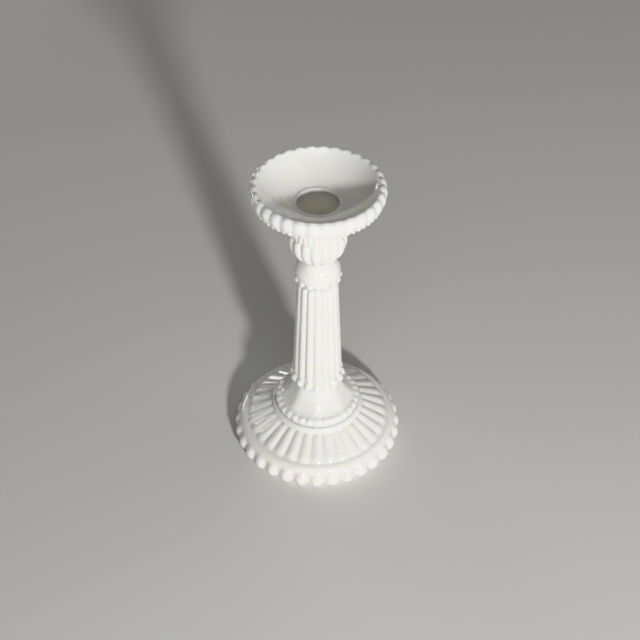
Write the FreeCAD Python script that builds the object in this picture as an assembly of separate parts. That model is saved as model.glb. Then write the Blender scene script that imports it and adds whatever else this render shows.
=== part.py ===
"""Pressed milk-glass candlestick: a hollow domed foot, an eight-sided collar, a solid ribbed column, a knop,
a gadrooned candle cup and a beaded drip pan, stacked on one upright axis.

Millimetres, +Z up. The origin is the centre of the circle that the foot stands on.
Each section sits on a flat shoulder of the one below, and a short round spigot centres it.
"""
import FreeCAD, Part
import math
import os

# ---- how often each ornament repeats round the axis ----
FOOT_COUNT = 32                     # rim beads, gadroons and small collar beads share one division
SHAFT_COUNT = 16                    # column ribs with their bottom beads, knop beads, cup lobes
COLLAR_SIDES = 8
PAN_COUNT = 32                      # rim beads of the pan, and reeds under it
TOP_TURN = -4.8                     # degrees: cup and pan are turned a little against the column

# ---- overall ----
FOOT_RADIUS = 51.0                  # outside of the foot's beads
HEIGHT = 190.5
SEAT_CLEARANCE = 0.05               # radial clearance of each spigot in its seat

# ---- seams, from the table up ----
COLLAR_SEAM = 28.4
COLUMN_SEAM = 48.5
KNOP_SEAM = 124.5
CUP_SEAM = 141.0
PAN_SEAM = 172.0

# ---- foot ----
RIM_BEAD_R = 4.4                    # upright oval beads: a ball drawn out between two heights
RIM_BEAD_Z = (6.3, 8.6)
STAND_OUTER = 45.8                  # ring that touches the table
STAND_INNER = 40.8
BAND_SIDE = (47.0, 9.0)             # broad band above the beads: its side, then its rounded edge
BAND_OUTER = (47.4, 12.2)
BAND_CREST = (46.6, 14.2)
BAND_TOP = (43.4, 15.1)
SLOPE_FOOT = (42.6, 14.7)           # lower and upper end of the plain slope between the gadroons
SLOPE_HEAD = (27.3, 24.1)
LEDGE_SIDE = (27.3, 26.2)           # rounded ledge under the collar
LEDGE_CREST = (27.0, 27.8)
LEDGE_TOP_R = 25.8
FOOT_WALL = 5.2                     # from the plain slope straight down to the hollow
HOLLOW_SIDE = (40.2, 5.0)           # the hollow inside the foot, just above the standing ring
HOLLOW_TOP_Z = 24.0
GADROON_TAIL = (38.2, 14.5)         # centre of the outer, larger end and of the inner end
GADROON_HEAD = (28.6, 21.5)
GADROON_R = (4.5, 3.0)
COLLAR_SPIGOT_R = 19.5
COLLAR_SPIGOT_LENGTH = 3.6

# ---- collar ----
COLLAR_BEAD_R = 1.8
COLLAR_BEAD_RING = 24.1
COLLAR_BEAD_Z = 31.4
COLLAR_FLANGE_R = 24.4              # radius at the seam, then the rounded edge under the beads
COLLAR_FLANGE_EDGE = (24.8, 31.0)
COLLAR_FLANGE_TOP = (23.6, 32.5)
COLLAR_FOOT_APOTHEM = 21.2          # half the distance across flats, at the flange and at the top
COLLAR_WAIST = (15.7, 39.4)         # a point on the hollow curve between them
COLLAR_HEAD_APOTHEM = 13.5
COLUMN_SPIGOT_R = 10.5
COLUMN_SPIGOT_LENGTH = 6.0

# ---- column ----
DRUM_R = 13.6
DRUM_SIDE_TOP = 53.0
DRUM_TOP = 54.0
DRUM_BEAD_R = 2.5
DRUM_BEAD_RING = 14.3
DRUM_BEAD_Z = 51.3
CORE_R = (12.6, 10.1)               # at the drum and at the knop
RIB_R = (2.35, 1.9)
RIB_RING = (12.25, 9.8)             # circle of the rib centres, bottom and top
RIB_Z = (57.0, 121.5)
KNOP_SPIGOT_R = 6.0
KNOP_SPIGOT_LENGTH = 8.0

# ---- knop ----
KNOP_BEAD_R = 1.9
KNOP_BEAD_RING = 11.8
KNOP_BEAD_Z = 128.4
KNOP_FOOT_R = 10.4
KNOP_SHOULDER = (11.8, 126.6)       # where the ball's curve starts, and its widest point
KNOP_BULGE = (12.85, 131.0)
KNOP_NECK_R = 8.0
CUP_SPIGOT_R = 5.0
CUP_SPIGOT_LENGTH = 8.0

# ---- candle cup ----
SOCKET_R = 11.5                     # takes a standard 22 mm taper candle
SOCKET_STRAIGHT_END = 160.0         # the socket is straight above this and tapers below it
SOCKET_BOTTOM = 154.0
SOCKET_BOTTOM_R = 9.6
LOBE_RING = (7.4, 11.2, 13.4, 13.3)  # circle of the lobe centres, from the neck up
LOBE_Z = (142.4, 146.8, 151.8, 156.2)
LOBE_R = (0.8, 2.0, 2.55, 2.5)
REED_RING = 14.4
REED_R = 1.3
REED_Z = (160.6, 170.2)
CUP_BELLY = (12.0, 147.4)
CUP_SIDE = (14.0, 156.6)
CUP_BODY_R = 14.6
CUP_BODY_Z = (160.4, 170.4)
CUP_SHOULDER_R = 16.0
PAN_SPIGOT_R = 13.5
PAN_SPIGOT_LENGTH = 4.0

# ---- drip pan ----
MOUTH_Z = 178.3
MOUTH_LIP_R = 12.5
NECK_RING = (18.2, 174.2)           # outermost point of the round ring under the pan
UNDERSIDE = ((17.56, 175.76), (31.0, 181.2))
PAN_EDGE = (33.3, 180.9)            # lower edge of the rim, below the beads
PAN_WALL_R = 35.2
PAN_WALL_Z = (183.4, 187.0)
PAN_RIM_TOP = (33.6, 189.6)
PAN_LIP = (31.2, 188.4)             # inner edge of the rim, where the dish starts
PAN_LIP_TOP_R = 32.6
PAN_DISH = (24.4, 183.0)            # a point on the dished inside
PAN_BEAD_R = 3.1
PAN_BEAD_RING = 33.2
PAN_BEAD_LOW_Z = 184.6

UP = FreeCAD.Vector(0, 0, 1)
ORIGIN = FreeCAD.Vector(0, 0, 0)


def at(radius, height, angle=0.0):
    """Point at this radius, height and angle in degrees from +X."""
    turn = math.radians(angle)
    return FreeCAD.Vector(radius * math.cos(turn), radius * math.sin(turn), height)


def outline(start, *steps):
    """Closed wire in the XZ plane. A step is a corner (r, z), or (through, end) for an arc."""
    edges = []
    here = start
    for step in steps + (start,):
        curved = isinstance(step[0], tuple)
        there = step[1] if curved else step
        if curved:
            edges.append(Part.Arc(at(*here), at(*step[0]), at(*there)).toShape())
        else:
            edges.append(Part.LineSegment(at(*here), at(*there)).toShape())
        here = there
    return Part.Wire(edges)


def turned(start, *steps):
    """Solid of revolution about the axis."""
    return Part.Face(outline(start, *steps)).revolve(ORIGIN, UP, 360)


def cylinder(radius, low, high):
    return Part.makeCylinder(radius, high - low, at(0, low))


def pod(tail, head, tail_r, head_r):
    """Ball-ended cone between two centres; the cone is tangent to both balls."""
    along = head - tail
    lean = math.asin((head_r - tail_r) / along.Length)
    tail_edge = (tail_r * math.cos(lean), -tail_r * math.sin(lean))
    head_edge = (head_r * math.cos(lean), along.Length - head_r * math.sin(lean))
    half = math.radians(45) + lean / 2
    tail_mid = (tail_r * math.cos(half), -tail_r * math.sin(half))
    half = math.radians(45) - lean / 2
    head_mid = (head_r * math.cos(half), along.Length + head_r * math.sin(half))
    shape = turned((0, -tail_r), (tail_mid, tail_edge), head_edge, (head_mid, (0, along.Length + head_r)))
    shape.Placement = FreeCAD.Placement(tail, FreeCAD.Rotation(UP, along))
    return shape


def around(shape, count, turn=0.0):
    """Copies of a shape, evenly spaced round the axis."""
    copies = []
    for index in range(count):
        copy = shape.copy()
        copy.rotate(ORIGIN, UP, turn + index * 360.0 / count)
        copies.append(copy)
    return copies


def bead_ring(radius, ring, height, count, turn=0.0):
    return around(Part.makeSphere(radius, at(ring, height)), count, turn)


def joined(body, additions):
    return body.multiFuse(additions).removeSplitter()


def under_slope(point, depth):
    """Point this far below one on the foot's slope, square to the slope."""
    rise = SLOPE_HEAD[1] - SLOPE_FOOT[1]
    run = SLOPE_HEAD[0] - SLOPE_FOOT[0]
    length = math.hypot(rise, run)
    return (point[0] - rise * depth / length, point[1] + run * depth / length)


def make_foot():
    """Hollow dome: standing ring, beaded rim, broad band, radial gadroons, ledge."""
    seat_r = COLLAR_SPIGOT_R + SEAT_CLEARANCE
    dome = turned(
        (0, 0),
        (STAND_OUTER, 0),
        BAND_SIDE,
        BAND_OUTER,
        (BAND_CREST, BAND_TOP),
        SLOPE_FOOT,
        SLOPE_HEAD,
        LEDGE_SIDE,
        (LEDGE_CREST, (LEDGE_TOP_R, COLLAR_SEAM)),
        (0, COLLAR_SEAM),
    )
    hollow = turned(
        (0, 0),
        (STAND_INNER, 0),
        HOLLOW_SIDE,
        under_slope(SLOPE_FOOT, FOOT_WALL),
        under_slope(SLOPE_HEAD, FOOT_WALL),
        (seat_r, HOLLOW_TOP_Z),
        (seat_r, COLLAR_SEAM),
        (0, COLLAR_SEAM),
    )
    gadroon = pod(at(*GADROON_TAIL), at(*GADROON_HEAD), *GADROON_R)
    bead_ends = [at(FOOT_RADIUS - RIM_BEAD_R, height) for height in RIM_BEAD_Z]
    beads = around(pod(*bead_ends, RIM_BEAD_R, RIM_BEAD_R), FOOT_COUNT)
    return joined(dome, beads + around(gadroon, FOOT_COUNT)).cut(hollow)


def make_collar():
    """Round beaded flange under an eight-sided flared collar with one corner facing -Y."""
    width = 2 * COLLAR_FOOT_APOTHEM
    panel = Part.Face(outline(
        (-width, COLLAR_SEAM),
        (COLLAR_FOOT_APOTHEM, COLLAR_SEAM),
        (COLLAR_FOOT_APOTHEM, COLLAR_FLANGE_TOP[1]),
        (COLLAR_WAIST, (COLLAR_HEAD_APOTHEM, COLUMN_SEAM)),
        (-width, COLUMN_SEAM),
    )).extrude(FreeCAD.Vector(0, 2 * width, 0))
    panel.translate(FreeCAD.Vector(0, -width, 0))
    flare = panel
    for side in around(panel, COLLAR_SIDES, 180.0 / COLLAR_SIDES):
        flare = side if flare is panel else flare.common(side)
    flange = turned(
        (0, COLLAR_SEAM),
        (COLLAR_FLANGE_R, COLLAR_SEAM),
        (COLLAR_FLANGE_EDGE, COLLAR_FLANGE_TOP),
        (0, COLLAR_FLANGE_TOP[1]),
    )
    spigot = cylinder(COLLAR_SPIGOT_R, COLLAR_SEAM - COLLAR_SPIGOT_LENGTH, COLLAR_SEAM)
    beads = bead_ring(COLLAR_BEAD_R, COLLAR_BEAD_RING, COLLAR_BEAD_Z, FOOT_COUNT)
    seat = cylinder(COLUMN_SPIGOT_R + SEAT_CLEARANCE, COLUMN_SEAM - COLUMN_SPIGOT_LENGTH, COLUMN_SEAM)
    return joined(flange, [flare, spigot] + beads).cut(seat)


def make_column():
    """Solid tapered shaft of convex ribs on a beaded drum."""
    spigot_end = COLUMN_SEAM - COLUMN_SPIGOT_LENGTH
    shaft = turned(
        (0, spigot_end),
        (COLUMN_SPIGOT_R, spigot_end),
        (COLUMN_SPIGOT_R, COLUMN_SEAM),
        (DRUM_R, COLUMN_SEAM),
        (DRUM_R, DRUM_SIDE_TOP),
        (CORE_R[0], DRUM_TOP),
        (CORE_R[1], KNOP_SEAM),
        (0, KNOP_SEAM),
    )
    rib = pod(at(RIB_RING[0], RIB_Z[0]), at(RIB_RING[1], RIB_Z[1]), *RIB_R)
    beads = bead_ring(DRUM_BEAD_R, DRUM_BEAD_RING, DRUM_BEAD_Z, SHAFT_COUNT)
    seat = cylinder(KNOP_SPIGOT_R + SEAT_CLEARANCE, KNOP_SEAM - KNOP_SPIGOT_LENGTH, KNOP_SEAM)
    return joined(shaft, beads + around(rib, SHAFT_COUNT)).cut(seat)


def make_knop():
    """Smooth ball with a ring of beads round its lower edge."""
    spigot_end = KNOP_SEAM - KNOP_SPIGOT_LENGTH
    ball = turned(
        (0, spigot_end),
        (KNOP_SPIGOT_R, spigot_end),
        (KNOP_SPIGOT_R, KNOP_SEAM),
        (KNOP_FOOT_R, KNOP_SEAM),
        KNOP_SHOULDER,
        (KNOP_BULGE, (KNOP_NECK_R, CUP_SEAM)),
        (0, CUP_SEAM),
    )
    beads = bead_ring(KNOP_BEAD_R, KNOP_BEAD_RING, KNOP_BEAD_Z, SHAFT_COUNT)
    seat = cylinder(CUP_SPIGOT_R + SEAT_CLEARANCE, CUP_SEAM - CUP_SPIGOT_LENGTH, CUP_SEAM)
    return joined(ball, beads).cut(seat)


def make_cup():
    """Cup with bulging lobes below, narrow reeds above, and the candle socket inside."""
    spigot_end = CUP_SEAM - CUP_SPIGOT_LENGTH
    body = turned(
        (0, spigot_end),
        (CUP_SPIGOT_R, spigot_end),
        (CUP_SPIGOT_R, CUP_SEAM),
        (KNOP_NECK_R, CUP_SEAM),
        (CUP_BELLY, CUP_SIDE),
        (CUP_BODY_R, CUP_BODY_Z[0]),
        (CUP_BODY_R, CUP_BODY_Z[1]),
        (CUP_SHOULDER_R, PAN_SEAM),
        (PAN_SPIGOT_R, PAN_SEAM),
        (PAN_SPIGOT_R, PAN_SEAM + PAN_SPIGOT_LENGTH),
        (0, PAN_SEAM + PAN_SPIGOT_LENGTH),
    )
    centres = [at(ring, height) for ring, height in zip(LOBE_RING, LOBE_Z)]
    links = [pod(*pair) for pair in zip(centres, centres[1:], LOBE_R, LOBE_R[1:])]
    lobe = joined(links[0], links[1:])
    reed = pod(at(REED_RING, REED_Z[0]), at(REED_RING, REED_Z[1]), REED_R, REED_R)
    lobes = around(lobe, SHAFT_COUNT, TOP_TURN)
    reeds = around(reed, PAN_COUNT, TOP_TURN)
    socket = turned(
        (0, SOCKET_BOTTOM),
        (SOCKET_BOTTOM_R, SOCKET_BOTTOM),
        (SOCKET_R, SOCKET_STRAIGHT_END),
        (SOCKET_R, HEIGHT),
        (0, HEIGHT),
    )
    return joined(body, lobes + reeds).cut(socket)


def make_pan():
    """Dished pan with tall oval beads round its rim and a rounded neck ring underneath."""
    seat_r = PAN_SPIGOT_R + SEAT_CLEARANCE
    seat_top = PAN_SEAM + PAN_SPIGOT_LENGTH
    wall = turned(
        (seat_r, PAN_SEAM),
        (CUP_SHOULDER_R, PAN_SEAM),
        (NECK_RING, UNDERSIDE[0]),
        UNDERSIDE[1],
        PAN_EDGE,
        (PAN_WALL_R, PAN_WALL_Z[0]),
        (PAN_WALL_R, PAN_WALL_Z[1]),
        PAN_RIM_TOP,
        (SOCKET_R, PAN_RIM_TOP[1]),
        (SOCKET_R, seat_top),
        (seat_r, seat_top),
    )
    bead_top = at(PAN_BEAD_RING, HEIGHT - PAN_BEAD_R)
    bead = pod(at(PAN_BEAD_RING, PAN_BEAD_LOW_Z), bead_top, PAN_BEAD_R, PAN_BEAD_R)
    inside = turned(
        (0, MOUTH_Z),
        (MOUTH_LIP_R, MOUTH_Z),
        (PAN_DISH, PAN_LIP),
        (PAN_LIP_TOP_R, HEIGHT),
        (0, HEIGHT),
    )
    return joined(wall, around(bead, PAN_COUNT, TOP_TURN)).cut(inside)


MAKERS = {
    "foot": make_foot,
    "collar": make_collar,
    "column": make_column,
    "knop": make_knop,
    "candle_cup": make_cup,
    "drip_pan": make_pan,
}

os.makedirs("parts", exist_ok=True)
for name, make in MAKERS.items():
    shape = make()
    solids = shape.Solids
    print(name, "solids", len(solids), "valid", shape.isValid(), "volume cm3", round(shape.Volume / 1000, 2),
          "height", round(shape.BoundBox.ZMin, 2), round(shape.BoundBox.ZMax, 2),
          "across", round(shape.BoundBox.XLength, 2), round(shape.BoundBox.YLength, 2))
    shape.exportStep(f"parts/{name}.step")
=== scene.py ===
"""Milk-glass candlestick: the visible glass, as smooth distance fields sampled into closed meshes.

Every section is one closed mesh that rides on the frame's body and stands for one CAD node.
The seams, the top and the foot's radius come from the frame; the fine shape is given here in mm.
"""
import math

import bpy
import numpy as np
from mathutils import Matrix, Vector


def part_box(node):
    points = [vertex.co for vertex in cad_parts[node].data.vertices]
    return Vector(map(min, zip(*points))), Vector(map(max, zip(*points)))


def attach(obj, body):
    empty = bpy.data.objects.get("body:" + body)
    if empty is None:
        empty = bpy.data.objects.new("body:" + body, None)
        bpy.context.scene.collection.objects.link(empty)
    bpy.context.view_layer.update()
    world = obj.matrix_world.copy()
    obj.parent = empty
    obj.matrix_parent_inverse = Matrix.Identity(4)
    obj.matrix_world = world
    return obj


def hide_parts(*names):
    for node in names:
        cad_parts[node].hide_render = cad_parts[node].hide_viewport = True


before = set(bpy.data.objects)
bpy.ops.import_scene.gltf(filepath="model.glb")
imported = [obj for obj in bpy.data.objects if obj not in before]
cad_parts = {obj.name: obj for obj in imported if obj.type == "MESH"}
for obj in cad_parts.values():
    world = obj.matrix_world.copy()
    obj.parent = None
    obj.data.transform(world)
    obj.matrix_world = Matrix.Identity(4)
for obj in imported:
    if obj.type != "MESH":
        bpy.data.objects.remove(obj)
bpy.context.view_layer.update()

MM = 0.001
BODY = "root"


def low_z(node):
    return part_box(node)[0].z / MM


def high_z(node):
    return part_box(node)[1].z / MM


# ---- where the sections meet, from the frame ----
COLLAR_SEAM = high_z("foot")
COLUMN_SEAM = high_z("collar")
KNOP_SEAM = high_z("column")
CUP_SEAM = high_z("knop")
PAN_SEAM = low_z("drip_pan")
TOP = high_z("drip_pan")
FOOT_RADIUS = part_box("foot")[1].x / MM

# ---- how often each ornament repeats ----
FOOT_COUNT = 32
SHAFT_COUNT = 16
COLLAR_SIDES = 8
PAN_COUNT = 32
TOP_TURN = -4.8                     # degrees: cup and pan are turned a little against the column

# ---- hidden spigots, each as its radius and the height of its end ----
CLEARANCE = 0.05                    # mm, between a spigot and its seat
COLLAR_SPIGOT_R = 19.5              # down into the foot
COLLAR_SPIGOT_END = 24.8
COLUMN_SPIGOT_R = 10.5              # down into the collar
COLUMN_SPIGOT_END = 42.5
KNOP_SPIGOT_R = 6.0                 # down into the column
KNOP_SPIGOT_END = 116.6
CUP_SPIGOT_R = 5.0                  # down into the knop
CUP_SPIGOT_END = 133.1
NECK_R = 13.5                       # the cup's neck, up into the pan's ring
NECK_END = 176.0

# ======================================================================
# Distance fields. A point is (x, y, z): outward, sideways and up from the
# axis, in mm, with x pointing at the nearest repeat of an ornament.
# ======================================================================


def smooth_union(a, b, blend):
    near = np.maximum(blend - np.abs(a - b), 0.0)
    return np.minimum(a, b) - near * near / (4.0 * blend)


def smooth_cut(a, b, blend):
    """What is inside a and outside b, with a rounded edge."""
    return -smooth_union(-a, b, blend)


def ball(point, ring, height, radius):
    x, y, z = point
    return np.sqrt((x - ring) ** 2 + y ** 2 + (z - height) ** 2) - radius


def egg(point, ring, height, radii):
    """Ellipsoid with its half-sizes outward, sideways and up."""
    offset = (point[0] - ring, point[1], point[2] - height)
    scaled = np.sqrt(sum((o / r) ** 2 for o, r in zip(offset, radii)))
    steep = np.sqrt(sum((o / r ** 2) ** 2 for o, r in zip(offset, radii)))
    return scaled * (scaled - 1.0) / np.maximum(steep, 1e-6)


def pod(point, tail, head, tail_r, head_r):
    """Ball-ended cone from tail to head, each (outward, up)."""
    x, y, z = point
    along = np.array([head[0] - tail[0], head[1] - tail[1]])
    length = math.hypot(*along)
    along = along / length
    forward = (x - tail[0]) * along[0] + (z - tail[1]) * along[1]
    side = np.hypot((x - tail[0]) * along[1] - (z - tail[1]) * along[0], y)
    slant = (tail_r - head_r) / length
    rise = math.sqrt(1.0 - slant * slant)
    reach = forward * rise - side * slant
    inside_tail = np.hypot(side, forward) - tail_r
    inside_head = np.hypot(side, forward - length) - head_r
    between = side * rise + forward * slant - tail_r
    return np.where(reach < 0, inside_tail, np.where(reach > length * rise, inside_head, between))


def turned(radius, z, outline):
    """Signed distance to the closed outline of a turned body, given as (r, z)."""
    best = np.full(np.broadcast(radius, z).shape, np.inf)
    inside = np.zeros(best.shape, bool)
    for (r0, z0), (r1, z1) in zip(outline, outline[1:] + outline[:1]):
        edge_r, edge_z = r1 - r0, z1 - z0
        off_r, off_z = radius - r0, z - z0
        share = np.clip((off_r * edge_r + off_z * edge_z) / (edge_r ** 2 + edge_z ** 2), 0, 1)
        best = np.minimum(best, (off_r - share * edge_r) ** 2 + (off_z - share * edge_z) ** 2)
        crosses = (z0 > z) != (z1 > z)
        if edge_z:
            inside ^= crosses & (off_r < edge_r * off_z / edge_z)
    return np.sqrt(best) * np.where(inside, -1.0, 1.0)


def arc(start, through, end, steps=10):
    """Points from start to end, both left in, on the circle through the three."""
    (ax, ay), (bx, by), (cx, cy) = start, through, end
    d = 2 * (ax * (by - cy) + bx * (cy - ay) + cx * (ay - by))
    a2, b2, c2 = ax * ax + ay * ay, bx * bx + by * by, cx * cx + cy * cy
    ux = (a2 * (by - cy) + b2 * (cy - ay) + c2 * (ay - by)) / d
    uy = (a2 * (cx - bx) + b2 * (ax - cx) + c2 * (bx - ax)) / d
    turns = np.unwrap([math.atan2(y - uy, x - ux) for x, y in (start, through, end)])
    size = math.hypot(ax - ux, ay - uy)
    return [(ux + size * math.cos(t), uy + size * math.sin(t))
            for t in np.linspace(turns[0], turns[2], steps + 1)]


def repeats(theta, count):
    """Angle to the nearest repeat, and to the second nearest."""
    pitch = 2 * math.pi / count
    near = theta - pitch * np.round(theta / pitch)
    return near, near - np.where(near >= 0, pitch, -pitch)


def ornament(radius, theta, z, count, shape, blend):
    """One ornament repeated round the axis; neighbours melt together over the blend."""
    near, next_one = repeats(theta, count)
    first = shape((radius * np.cos(near), radius * np.sin(near), z))
    second = shape((radius * np.cos(next_one), radius * np.sin(next_one), z))
    return smooth_union(first, second, blend)


# ======================================================================
# Sampling a field into a closed mesh. Rays start inside the glass, in the
# plane through the axis, and the skin is where each one comes out.
# ======================================================================
MARCH_STEP = 0.2                    # mm
MARCH_REACH = 12.0                  # mm: every ray leaves the glass within this
HALVINGS = 16                       # of the last step, which finds the skin
WOBBLE = 0.05                       # mm: a fire-polished surface is never quite round
WOBBLE_RISE = 23.0                  # mm of height per radian, for the two waves of that unevenness
WOBBLE_TWIST = 31.0
SEAM_GAP = 0.02                     # mm: the first and last rings of skin stop this far from a seam
GROOVE_SHADE_DEPTH = 2.4                  # mm: a groove this deep counts as 1 in the attribute for the painted shade in grooves


def stations(*keys):
    """Rays from key to key: each is (radius, z, degrees above outward, steps from the key before)."""
    rows = [keys[0][:3]]
    for before, after in zip(keys, keys[1:]):
        for share in np.linspace(0, 1, after[3] + 1)[1:]:
            rows.append([a + (b - a) * share for a, b in zip(before, after[:3])])
    rows = np.array(rows, float)
    rows[:, 2] = np.radians(rows[:, 2])
    return rows


def cast(field, rays, theta):
    """Where the rays leave the field: arrays of r, z and ray length, stations by angles."""
    base_r, base_z, slope = (rays[:, i, None] for i in range(3))
    theta = theta[None, :]

    def value(distance):
        return field(base_r + distance * np.cos(slope), theta, base_z + distance * np.sin(slope))

    low = np.zeros((len(rays), theta.size))
    found = value(low) > 0
    if found.any():
        raise ValueError(f"rays start outside the glass at stations {np.where(found.any(axis=1))[0]}")
    high = low.copy()
    for distance in np.arange(MARCH_STEP, MARCH_REACH, MARCH_STEP):
        here = value(np.full(low.shape, distance))
        low = np.where(found, low, np.where(here <= 0, distance, low))
        high = np.where(found, high, distance)
        found |= here > 0
    if not found.all():
        raise ValueError(f"rays never leave the glass at stations {np.where(~found.all(axis=1))[0]}")
    for _ in range(HALVINGS):
        middle = (low + high) / 2
        outside = value(middle) > 0
        low, high = np.where(outside, low, middle), np.where(outside, middle, high)
    return base_r + high * np.cos(slope), base_z + high * np.sin(slope), high


def spigot(radius, end, seam, shoulder, bevel=(0.2, 0.3)):
    """Plain rings of a hidden spigot: its end, its bevelled edge, its side and out to the shoulder."""
    return [(0, end), (radius - bevel[0], end), (radius, end + bevel[1]), (radius, seam), (shoulder, seam)]


def ring_faces(first, second, around):
    """Faces between two rings, each (index of its first point, whether it is a pole)."""
    (start, pole), (next_start, next_pole) = first, second
    step = np.arange(around)
    after = (step + 1) % around
    if pole and next_pole:
        return []
    if pole:
        sides = (next_start + after, next_start + step, np.full(around, start))
    elif next_pole:
        sides = (start + step, start + after, np.full(around, next_start))
    else:
        sides = (start + step, start + after, next_start + after, next_start + step)
    return np.stack(sides, 1).tolist()


def glass_mesh(name, field, rays, plain, sectors, samples, turn=0.0):
    """Closed mesh: the cast skin, then the plain (r, z) rings of the hidden side.

    A plain ring with r = 0 is a pole. With no pole the rings close into a tube, end to start.
    """
    theta = np.arange(samples) * 2 * math.pi / (sectors * samples)
    skin_r, skin_z, length = cast(field, rays, theta)
    # painted shade: the deeper a skin point lies in a groove, the more its colour is darkened and warmed in
    # the material
    groove_shade = np.clip((length.max(axis=1, keepdims=True) - length) / GROOVE_SHADE_DEPTH, 0, 1)
    skin = [tuple(np.tile(row, sectors) for row in rows) for rows in zip(skin_r, skin_z, groove_shade)]
    around = sectors * samples
    # the plain rings, the socket's inside among them, get the full painted shade
    hidden = [(np.full(around, r), np.full(around, z), np.ones(around)) for r, z in plain]
    angle = np.arange(around) * 2 * math.pi / around + math.radians(turn)
    points, groove_shades, rings = [], [], []
    for r, z, g in skin + hidden:
        pole = r[0] == 0
        rings.append((sum(len(p) for p in points), pole))
        if pole:
            points.append(np.array([[0, 0, z[0]]]))
            groove_shades.append(np.ones(1))
            continue
        even = r - WOBBLE * (1 + np.sin(2 * angle + z / WOBBLE_RISE) * np.cos(z / WOBBLE_TWIST + angle)) / 2
        points.append(np.stack([even * np.cos(angle), even * np.sin(angle), z], axis=1))
        groove_shades.append(g)
    pairs = list(zip(rings, rings[1:]))
    if not any(pole for _, pole in rings):
        pairs.append((rings[-1], rings[0]))
    faces = [face for first, second in pairs for face in ring_faces(first, second, around)]
    mesh = bpy.data.meshes.new(name)
    mesh.from_pydata((np.concatenate(points) * MM).tolist(), [], faces)
    mesh.attributes.new("groove_shade", "FLOAT", "POINT").data.foreach_set("value", np.concatenate(groove_shades))
    mesh.update()
    return mesh


# ======================================================================
# The sections. Sizes in mm; (r, z) unless said otherwise.
# A GAP_BLEND softens the valley between two neighbours of one ornament, the
# other blends soften the valley between an ornament and the body.
# ======================================================================

# ---- foot ----
RIM_BEAD_SIZE = (4.4, 4.45, 5.4)    # half-sizes outward, sideways and up
RIM_BEAD_Z = 7.2
RIM_GAP_BLEND = 2.2
RIM_BLEND = 1.5
STAND_OUTER = 45.8                  # ring that touches the table
STAND_INNER = 40.8
BAND_OUTER = (47.8, 12.0)
BAND_CREST = (46.4, 14.5)
BAND_TOP = (43.6, 15.5)
SLOPE_FOOT = (42.7, 15.6)
SLOPE_HEAD = (27.3, 24.1)
GADROON_TAIL = (37.5, 14.0)         # centre of the outer, larger end, well below the slope
GADROON_HEAD = (28.1, 21.3)
GADROON_R = (5.4, 3.5)
GADROON_GAP_BLEND = 0.6
GADROON_BLEND = 1.3
LEDGE_R = 26.6
FOOT_CORE = (
    [(0, 0), (STAND_OUTER - 0.5, 0), (STAND_OUTER, 0.5), (47.3, 4.5), (47.9, 9.0)]
    + arc(BAND_OUTER, BAND_CREST, BAND_TOP, 12)
    + [SLOPE_FOOT, SLOPE_HEAD]
    + arc((LEDGE_R + 0.6, 26.0), (LEDGE_R + 0.3, 27.7), (LEDGE_R - 1.0, COLLAR_SEAM), 6)
    + [(0, COLLAR_SEAM)]
)


def foot_field(r, theta, z):
    glass = turned(r, z, FOOT_CORE)
    gadroons = ornament(r, theta, z, FOOT_COUNT,
                        lambda p: pod(p, GADROON_TAIL, GADROON_HEAD, *GADROON_R), GADROON_GAP_BLEND)
    ring = FOOT_RADIUS - RIM_BEAD_SIZE[0]
    beads = ornament(r, theta, z, FOOT_COUNT,
                     lambda p: egg(p, ring, RIM_BEAD_Z, RIM_BEAD_SIZE), RIM_GAP_BLEND)
    return smooth_union(smooth_union(glass, gadroons, GADROON_BLEND), beads, RIM_BLEND)


def foot_mesh():
    rays = stations(
        (43.0, 0.3, 0), (43.0, 2.2, 0, 4), (43.0, 6.4, 0, 14), (43.0, 10.0, 0, 9), (43.0, 10.8, 20, 8),
        (42.8, 11.4, 60, 14), (41.0, 11.2, 57, 9), (36.4, 12.2, 55, 16), (28.6, 19.4, 55, 18),
        (25.6, 21.6, 55, 9), (24.4, 24.6, 62, 7), (24.0, 25.4, 90, 5), (21.0, 25.4, 90, 3),
    )
    seat_r = COLLAR_SPIGOT_R + CLEARANCE
    seat = [(seat_r, COLLAR_SEAM), (seat_r, COLLAR_SPIGOT_END - 0.5)]
    hollow = [(19.9, 23.7), (24.4, 19.7), (32.1, 14.7), (39.6, 9.8), (40.1, 5.4), (40.5, 1.0)]
    stand = [(STAND_INNER, 0.3), (STAND_INNER + 0.4, 0), (STAND_OUTER - 0.7, 0)]
    return glass_mesh("foot_glass", foot_field, rays, seat + hollow + stand, FOOT_COUNT, samples=20)


# ---- collar ----
COLLAR_BEAD = (23.5, 31.1, 1.8)     # ring radius, height, bead radius
COLLAR_GAP_BLEND = 1.2
COLLAR_BLEND = 1.8
CORNER_BLEND = 2.0                  # rounds the corners between the eight sides
FLANGE_BLEND = 1.4
FLANGE = [(0, COLLAR_SEAM), (25.3, COLLAR_SEAM), (24.9, COLLAR_SEAM + 0.8), (24.7, 31.0), (23.7, 32.5),
          (0, 32.5)]
FLARE = ([(0, 30.0), (21.2, 30.0)] + arc((21.2, 32.8), (15.7, 39.4), (13.5, COLUMN_SEAM), 16)
         + [(0, COLUMN_SEAM)])


def collar_field(r, theta, z):
    near, next_one = repeats(theta - math.pi / COLLAR_SIDES, COLLAR_SIDES)
    apothem = -smooth_union(-r * np.cos(near), -r * np.cos(next_one), CORNER_BLEND)
    body = smooth_union(turned(apothem, z, FLARE), turned(r, z, FLANGE), FLANGE_BLEND)
    beads = ornament(r, theta, z, FOOT_COUNT, lambda p: ball(p, *COLLAR_BEAD), COLLAR_GAP_BLEND)
    return smooth_union(body, beads, COLLAR_BLEND)


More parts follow.
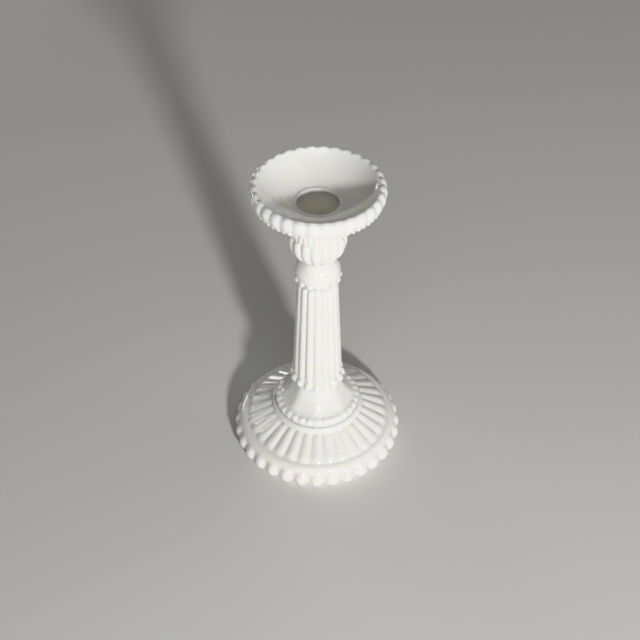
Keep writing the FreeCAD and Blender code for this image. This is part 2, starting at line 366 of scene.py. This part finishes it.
def collar_mesh():
    rays = stations(
        (21.0, COLLAR_SEAM + SEAM_GAP, 0), (21.0, 29.4, 0, 4), (21.0, 31.0, 0, 10), (20.8, 31.2, 30, 10),
        (20.0, 31.2, 55, 10), (18.4, 31.2, 66, 6), (13.0, 34.0, 50, 14), (11.0, 41.0, 15, 14),
        (11.0, COLUMN_SEAM - SEAM_GAP, 0, 12),
    )
    seat_r = COLUMN_SPIGOT_R + CLEARANCE
    seat = [(13.2, COLUMN_SEAM), (seat_r, COLUMN_SEAM), (seat_r, COLUMN_SPIGOT_END), (0, COLUMN_SPIGOT_END)]
    plain = seat + spigot(COLLAR_SPIGOT_R, COLLAR_SPIGOT_END, COLLAR_SEAM, 25.1, bevel=(0.2, 0.2))
    return glass_mesh("collar_glass", collar_field, rays, plain, COLLAR_SIDES, samples=64)


# ---- column ----
DRUM_BEAD = (14.0, 51.4)
DRUM_BEAD_SIZE = (2.5, 2.6, 2.6)    # half-sizes outward, sideways and up
DRUM_GAP_BLEND = 1.3
DRUM_BLEND = 2.4
COLUMN_CORE = [(0, COLUMN_SEAM), (13.0, COLUMN_SEAM), (13.5, COLUMN_SEAM + 0.5), (13.6, 53.4),
               (12.5, 54.6), (10.0, KNOP_SEAM), (0, KNOP_SEAM)]
RIB_TAIL = (12.25, 57.0)
RIB_HEAD = (9.8, 121.5)
RIB_R = (2.35, 1.88)
RIB_GAP_BLEND = 0.5
RIB_BLEND = 0.4


def column_field(r, theta, z):
    ribs = ornament(r, theta, z, SHAFT_COUNT, lambda p: pod(p, RIB_TAIL, RIB_HEAD, *RIB_R), RIB_GAP_BLEND)
    beads = ornament(r, theta, z, SHAFT_COUNT, lambda p: egg(p, *DRUM_BEAD, DRUM_BEAD_SIZE), DRUM_GAP_BLEND)
    shaft = smooth_union(turned(r, z, COLUMN_CORE), ribs, RIB_BLEND)
    return smooth_union(shaft, beads, DRUM_BLEND)


def column_mesh():
    rays = stations(
        (11.0, COLUMN_SEAM + SEAM_GAP, 0), (11.0, 50.0, 0, 7), (11.0, 53.0, 0, 14), (11.0, 56.0, 0, 14),
        (10.5, 60.0, 0, 10), (8.5, 117.0, 0, 26), (8.0, 121.5, 0, 8), (8.0, KNOP_SEAM - SEAM_GAP, 0, 12),
    )
    seat_r = KNOP_SPIGOT_R + CLEARANCE
    seat = [(9.9, KNOP_SEAM), (seat_r, KNOP_SEAM), (seat_r, KNOP_SPIGOT_END),
            (seat_r - 0.15, KNOP_SPIGOT_END - 0.1), (0, KNOP_SPIGOT_END - 0.1)]
    spigot_r = COLUMN_SPIGOT_R - CLEARANCE
    plain = seat + spigot(spigot_r, COLUMN_SPIGOT_END, COLUMN_SEAM, 12.8, bevel=(0.25, 0.3))
    return glass_mesh("column_glass", column_field, rays, plain, SHAFT_COUNT, samples=32)


# ---- knop ----
KNOP_BEAD = (11.8, 128.4, 1.9)      # ring radius, height, bead radius
KNOP_GAP_BLEND = 0.3
KNOP_BLEND = 0.8
KNOP_CORE = ([(0, KNOP_SEAM), (10.0, KNOP_SEAM), (10.5, KNOP_SEAM + 0.5)]
             + arc((11.8, 126.6), (12.85, 131.0), (8.1, 140.4), 24) + [(8.0, CUP_SEAM), (0, CUP_SEAM)])


def knop_field(r, theta, z):
    beads = ornament(r, theta, z, SHAFT_COUNT, lambda p: ball(p, *KNOP_BEAD), KNOP_GAP_BLEND)
    return smooth_union(turned(r, z, KNOP_CORE), beads, KNOP_BLEND)


def knop_mesh():
    rays = stations(
        (8.4, KNOP_SEAM + SEAM_GAP, 0), (8.4, 126.2, 0, 4), (8.4, 130.8, 0, 22), (7.0, 134.0, 0, 10),
        (6.4, 138.0, 10, 14), (5.8, CUP_SEAM - SEAM_GAP, 0, 14),
    )
    seat_r = CUP_SPIGOT_R + CLEARANCE
    seat = [(7.9, CUP_SEAM), (seat_r, CUP_SEAM), (seat_r, CUP_SPIGOT_END + 0.1),
            (seat_r - 0.15, CUP_SPIGOT_END - 0.1), (0, CUP_SPIGOT_END - 0.1)]
    plain = seat + spigot(KNOP_SPIGOT_R, KNOP_SPIGOT_END, KNOP_SEAM, 9.9)
    return glass_mesh("knop_glass", knop_field, rays, plain, SHAFT_COUNT, samples=28)


# ---- candle cup ----
LOBE_PODS = 8                       # pods in the chain that makes one lobe
LOBE_CENTRES = arc((8.0, 142.6), (12.4, 149.2), (13.1, 156.2), LOBE_PODS)
LOBE_TIP_R = 1.0
LOBE_SWELL = 1.8                    # what the radius gains from the tip to where it is swollen
LOBE_SWOLLEN = 0.75                 # share of the way up the lobe
LOBE_R = [LOBE_TIP_R + LOBE_SWELL * math.sin(min(share / LOBE_SWOLLEN, 1.0) * math.pi / 2)
          for share in np.linspace(0, 1, LOBE_PODS + 1)]
LOBE_GAP_BLEND = 0.7
LOBE_BLEND = 0.7
REED_RING = 14.4
REED_Z = (160.6, 170.2)
REED_R = 1.3
REED_GAP_BLEND = 0.4
REED_BLEND = 0.6
CUP_CORE = ([(0, CUP_SEAM), (8.0, CUP_SEAM)]
            + arc((8.2, 141.8), (12.0, 147.4), (14.0, 156.6), 14) + [(14.6, 160.4)]
            + arc((14.7, 170.2), (15.1, 171.4), (16.0, PAN_SEAM), 5) + [(0, PAN_SEAM)])
SOCKET_R = 11.5                     # takes a standard 22 mm taper candle
SOCKET_BOTTOM = 154.0


def lobe(point):
    """A chain of pods along an arc, from the neck to the top of the bulge."""
    ends = list(zip(LOBE_CENTRES, LOBE_R))
    whole = None
    for (tail, tail_r), (head, head_r) in zip(ends, ends[1:]):
        link = pod(point, tail, head, tail_r, head_r)
        whole = link if whole is None else np.minimum(whole, link)
    return whole


def cup_field(r, theta, z):
    lobes = ornament(r, theta, z, SHAFT_COUNT, lobe, LOBE_GAP_BLEND)
    foot, head = ((REED_RING, height) for height in REED_Z)
    reeds = ornament(r, theta, z, PAN_COUNT, lambda p: pod(p, foot, head, REED_R, REED_R), REED_GAP_BLEND)
    body = smooth_union(turned(r, z, CUP_CORE), reeds, REED_BLEND)
    return smooth_union(body, lobes, LOBE_BLEND)


def cup_mesh():
    rays = stations(
        (5.8, CUP_SEAM + SEAM_GAP, 0), (6.0, 142.8, -10, 8), (8.0, 147.0, -15, 16), (9.0, 157.0, 0, 20),
        (12.3, 161.5, 0, 18), (12.3, 168.0, 0, 10), (12.3, PAN_SEAM - SEAM_GAP, 0, 12),
    )
    neck = [(15.9, PAN_SEAM), (NECK_R, PAN_SEAM), (NECK_R, NECK_END - 0.2), (NECK_R - 0.2, NECK_END),
            (SOCKET_R, NECK_END)]
    socket = [(SOCKET_R, 160.0), (10.0, 155.2), (9.0, 154.2), (7.6, SOCKET_BOTTOM), (0, SOCKET_BOTTOM)]
    plain = neck + socket + spigot(CUP_SPIGOT_R, CUP_SPIGOT_END, CUP_SEAM, 7.9)
    return glass_mesh("candle_cup_glass", cup_field, rays, plain, SHAFT_COUNT, samples=40, turn=TOP_TURN)


# ---- drip pan ----
MOUTH_Z = 178.3                     # top of the candle socket
PAN_BEAD = (33.2, 186.3)
PAN_BEAD_SIZE = (3.1, 3.85, TOP - 186.4)    # half-sizes outward, sideways and up
PAN_GAP_BLEND = 0.9
PAN_BLEND = 1.4
EDGE_BEAD = (33.9, 181.6, 1.05)     # ring radius, height, bead radius
EDGE_GAP_BLEND = 0.3
EDGE_BLEND = 1.1
LIP_BLEND = 0.8
PAN_CORE = (
    [(0, PAN_SEAM), (15.6, PAN_SEAM)]
    + arc((16.0, PAN_SEAM), (18.2, 174.2), (17.56, 175.76), 12)
    + arc((17.9, 176.0), (24.6, 178.0), (30.6, 180.6), 6)
    + [(32.0, 180.9), (33.4, 181.1), (34.6, 182.0), (35.2, 184.5), (35.2, 186.8), (34.6, 188.8)]
    + [(33.4, 189.6), (0, 189.6)]
)
PAN_INSIDE = (
    [(0, MOUTH_Z + 0.4), (SOCKET_R + 0.2, MOUTH_Z + 0.4), (SOCKET_R + 0.9, MOUTH_Z + 0.4)]
    + [(SOCKET_R + 1.3, MOUTH_Z)]
    + arc((SOCKET_R + 1.5, MOUTH_Z), (24.4, 183.0), (31.2, 188.4), 16)
    + [(32.4, 190.3), (33.6, 191.8), (0, 191.8)]
)


def pan_field(r, theta, z):
    big = ornament(r, theta, z, PAN_COUNT, lambda p: egg(p, *PAN_BEAD, PAN_BEAD_SIZE), PAN_GAP_BLEND)
    small = ornament(r, theta - math.pi / (2 * PAN_COUNT), z, 2 * PAN_COUNT,
                     lambda p: ball(p, *EDGE_BEAD), EDGE_GAP_BLEND)
    body = smooth_union(turned(r, z, PAN_CORE), big, PAN_BLEND)
    body = smooth_union(body, small, EDGE_BLEND)
    return smooth_cut(body, turned(r, z, PAN_INSIDE), LIP_BLEND)


def pan_mesh():
    rays = stations(
        (SOCKET_R + 0.12, 177.0, 90), (SOCKET_R + 1.6, 177.0, 90, 8), (24.0, 180.0, 90, 12),
        (30.0, 184.4, 100, 8), (33.0, 185.4, 130, 6), (33.2, 185.6, 90, 16), (33.2, 185.6, 20, 18),
        (33.2, 184.8, 0, 5), (32.6, 184.0, -30, 12), (32.0, 184.0, -75, 12), (29.0, 182.6, -90, 8),
        (20.0, 179.2, -90, 8), (15.6, 176.6, -50, 6), (15.0, 174.6, -10, 10),
        (15.0, PAN_SEAM + 3 * SEAM_GAP, -2, 8),
    )
    seat_r = NECK_R + CLEARANCE
    seat = [(15.9, PAN_SEAM), (seat_r, PAN_SEAM), (seat_r, NECK_END)]
    socket = [(SOCKET_R, NECK_END), (SOCKET_R, MOUTH_Z)]
    return glass_mesh("drip_pan_glass", pan_field, rays, seat + socket, PAN_COUNT, samples=20, turn=TOP_TURN)


# ======================================================================
# Milk glass: glossy opal white, a little translucent, with painted shade (a darker, warmer colour) in the
# grooves and on the plain hidden rings.
# ======================================================================
WARM_WHITE = (0.93, 0.918, 0.88)
COOL_WHITE = (0.92, 0.925, 0.915)
# painted shade: the darker, warmer colour mixed in where the groove attribute is high
GROOVE_SHADE_TINT = (0.85, 0.80, 0.71)
GROOVE_SHADE_START = 0.35               # the painted shade starts at this value of the groove attribute
GROOVE_SHADE_SHARE = 0.35                 # share of the painted shade in the deepest groove
THIN_TINT = (0.87, 0.905, 0.93)
THIN_LOW = 182.0                    # mm: the tint grows from here to the top of the pan
THIN_SHARE = 0.55
GLASS_IOR = 1.5
GLASS_SPECULAR = 0.75
GLOW_WEIGHT = 0.85                  # subsurface scattering
GLOW_RADIUS = (1.0, 0.85, 0.7)
GLOW_SCALE = 0.0034
ROUGHNESS = (0.09, 0.17)
CLOUD_RANGE = (0.35, 0.65)          # the noise values that are stretched to the whole range
SMEAR_RANGE = (0.3, 0.7)
CLOUD_NOISE = (45.0, 3.0, 1.2)      # scale, detail, distortion
SMEAR_NOISE = (140.0, 4.0, 0.6)
RIPPLE_NOISE = (110.0, 2.0, 0.0)
PIT_NOISE = (1500.0, 2.0, 0.0)
RIPPLE_BUMP = (0.35, 0.0002)        # strength, height in metres
PIT_BUMP = (0.12, 0.00003)
SEAM_ANGLE = math.radians(65)       # edges sharper than this are shaded as edges


def milk_glass():
    material = bpy.data.materials.new("milk_glass")
    material.use_nodes = True
    nodes, links = material.node_tree.nodes, material.node_tree.links
    shader = nodes["Principled BSDF"]
    shader.inputs["IOR"].default_value = GLASS_IOR
    shader.inputs["Specular IOR Level"].default_value = GLASS_SPECULAR
    shader.inputs["Subsurface Weight"].default_value = GLOW_WEIGHT
    shader.inputs["Subsurface Radius"].default_value = GLOW_RADIUS
    shader.inputs["Subsurface Scale"].default_value = GLOW_SCALE
    place = nodes.new("ShaderNodeTexCoord").outputs["Object"]

    def noise(scale, detail, distortion):
        node = nodes.new("ShaderNodeTexNoise")
        node.inputs["Scale"].default_value = scale
        node.inputs["Detail"].default_value = detail
        node.inputs["Distortion"].default_value = distortion
        links.new(place, node.inputs["Vector"])
        return node.outputs["Fac"]

    def rescale(value, low, high, to_low, to_high):
        node = nodes.new("ShaderNodeMapRange")
        for name, number in (("From Min", low), ("From Max", high), ("To Min", to_low), ("To Max", to_high)):
            node.inputs[name].default_value = number
        links.new(value, node.inputs["Value"])
        return node.outputs["Result"]

    def mix(share, first, second):
        node = nodes.new("ShaderNodeMix")
        node.data_type = "RGBA"
        links.new(share, node.inputs["Factor"])
        for socket, colour in ((node.inputs["A"], first), (node.inputs["B"], second)):
            if isinstance(colour, tuple):
                socket.default_value = (*colour, 1.0)
            else:
                links.new(colour, socket)
        return node.outputs["Result"]

    def bump(height, strength, distance):
        node = nodes.new("ShaderNodeBump")
        node.inputs["Strength"].default_value = strength
        node.inputs["Distance"].default_value = distance
        links.new(height, node.inputs["Height"])
        return node

    clouds = rescale(noise(*CLOUD_NOISE), *CLOUD_RANGE, 0.0, 1.0)
    body = mix(clouds, WARM_WHITE, COOL_WHITE)
    # painted shade in the grooves: darker and warmer where the groove attribute is high
    groove_shade = nodes.new("ShaderNodeAttribute")
    groove_shade.attribute_name = "groove_shade"
    painted_shade = rescale(groove_shade.outputs["Fac"], GROOVE_SHADE_START, 1.0, 0.0, GROOVE_SHADE_SHARE)
    body = mix(painted_shade, body, GROOVE_SHADE_TINT)
    split = nodes.new("ShaderNodeSeparateXYZ")
    links.new(place, split.inputs["Vector"])
    thin = rescale(split.outputs["Z"], THIN_LOW * MM, TOP * MM, 0.0, THIN_SHARE)
    body = mix(thin, body, THIN_TINT)
    links.new(body, shader.inputs["Base Color"])
    links.new(rescale(noise(*SMEAR_NOISE), *SMEAR_RANGE, *ROUGHNESS), shader.inputs["Roughness"])
    ripple = bump(noise(*RIPPLE_NOISE), *RIPPLE_BUMP)
    pits = bump(noise(*PIT_NOISE), *PIT_BUMP)
    links.new(ripple.outputs["Normal"], pits.inputs["Normal"])
    links.new(pits.outputs["Normal"], shader.inputs["Normal"])
    return material


SECTIONS = {
    "foot": foot_mesh,
    "collar": collar_mesh,
    "column": column_mesh,
    "knop": knop_mesh,
    "candle_cup": cup_mesh,
    "drip_pan": pan_mesh,
}


def place_section(node, mesh, material):
    mesh.materials.append(material)
    mesh.shade_smooth()
    mesh.set_sharp_from_angle(angle=SEAM_ANGLE)
    piece = bpy.data.objects.new(mesh.name, mesh)
    bpy.context.scene.collection.objects.link(piece)
    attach(piece, BODY)
    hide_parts(node)


# ======================================================================
# Stage: a pale floor, a small bright key from the front right, a soft fill
# above the front, a broad light behind on the right, a low one behind on
# the left, and a faint even sky.
# ======================================================================
FLOOR_SIZE = 30.0                   # m
FLOOR_PALE = (0.72, 0.72, 0.715)
FLOOR_ROUGHNESS = 0.9
FLOOR_SPECULAR = 0.2
WORLD_COLOUR = (1.0, 0.99, 0.97)
WORLD_LIGHT = 0.09
# degrees to the right of the viewer, degrees up, metres away, metres across, watts, colour
LIGHTS = {
    "key": (18, 19.8, 1.3, 0.11, 14.0, (1.0, 0.985, 0.95)),
    "fill": (0, 46, 1.2, 0.8, 2.0, (0.97, 0.985, 1.0)),
    "back": (125, 44, 1.6, 2.2, 4.5, (1.0, 0.98, 0.93)),
    "rear": (-140, 4, 1.3, 0.34, 2.6, (1.0, 0.985, 0.96)),
}


def pale_floor():
    half = FLOOR_SIZE / 2
    mesh = bpy.data.meshes.new("floor")
    square = [(-half, -half, 0), (half, -half, 0), (half, half, 0), (-half, half, 0)]
    mesh.from_pydata(square, [], [(0, 1, 2, 3)])
    material = bpy.data.materials.new("pale_floor")
    material.use_nodes = True
    shader = material.node_tree.nodes["Principled BSDF"]
    shader.inputs["Base Color"].default_value = (*FLOOR_PALE, 1.0)
    shader.inputs["Roughness"].default_value = FLOOR_ROUGHNESS
    shader.inputs["Specular IOR Level"].default_value = FLOOR_SPECULAR
    mesh.materials.append(material)
    floor = bpy.data.objects.new("floor", mesh)
    bpy.context.scene.collection.objects.link(floor)


def soft_light(name, azimuth, elevation, distance, size, power, colour):
    """Round area light that looks at the middle of the candlestick; the camera doesn't see it."""
    turn, rise = math.radians(azimuth), math.radians(elevation)
    middle = Vector((0, 0, TOP * MM / 2))
    place = middle + distance * Vector((math.sin(turn) * math.cos(rise), -math.cos(turn) * math.cos(rise),
                                        math.sin(rise)))
    light = bpy.data.lights.new(name, "AREA")
    light.shape = "DISK"
    light.size = size
    light.energy = power
    light.color = colour
    lamp = bpy.data.objects.new(name, light)
    lamp.visible_camera = False
    lamp.location = place
    lamp.rotation_euler = (middle - place).to_track_quat("-Z", "Y").to_euler()
    bpy.context.scene.collection.objects.link(lamp)


def studio():
    world = bpy.data.worlds.new("studio")
    world.use_nodes = True
    background = world.node_tree.nodes["Background"]
    background.inputs["Color"].default_value = (*WORLD_COLOUR, 1.0)
    background.inputs["Strength"].default_value = WORLD_LIGHT
    bpy.context.scene.world = world
    for name, values in LIGHTS.items():
        soft_light(name, *values)
    bpy.context.scene.view_settings.view_transform = "Khronos PBR Neutral"


# ---- camera: at the photograph's viewing angle ----
CAMERA_BACK = 0.4838                # m in front of the axis
CAMERA_UP = 0.5494                  # m above the table
CAMERA_DOWN = 43.32                 # degrees below level
CAMERA_YAW = 0.17                   # degrees to the right
CAMERA_ROLL = 0.35                  # degrees
CAMERA_LENS = 65.08                 # mm, on a sensor this wide
SENSOR = 36.0


def viewpoint():
    camera = bpy.data.cameras.new("viewpoint")
    camera.sensor_width = SENSOR
    camera.lens = CAMERA_LENS
    eye = bpy.data.objects.new("viewpoint", camera)
    eye.location = (0, -CAMERA_BACK, CAMERA_UP)
    tilt = Matrix.Rotation(math.radians(90 - CAMERA_DOWN), 3, "X")
    yaw = Matrix.Rotation(math.radians(-CAMERA_YAW), 3, "Z")
    roll = Matrix.Rotation(math.radians(CAMERA_ROLL), 3, "Z")
    eye.rotation_euler = (yaw @ tilt @ roll).to_euler()
    bpy.context.scene.collection.objects.link(eye)
    bpy.context.scene.camera = eye


glass = milk_glass()
for node, make in SECTIONS.items():
    place_section(node, make(), glass)
pale_floor()
studio()
viewpoint()


bpy.context.view_layer.update()
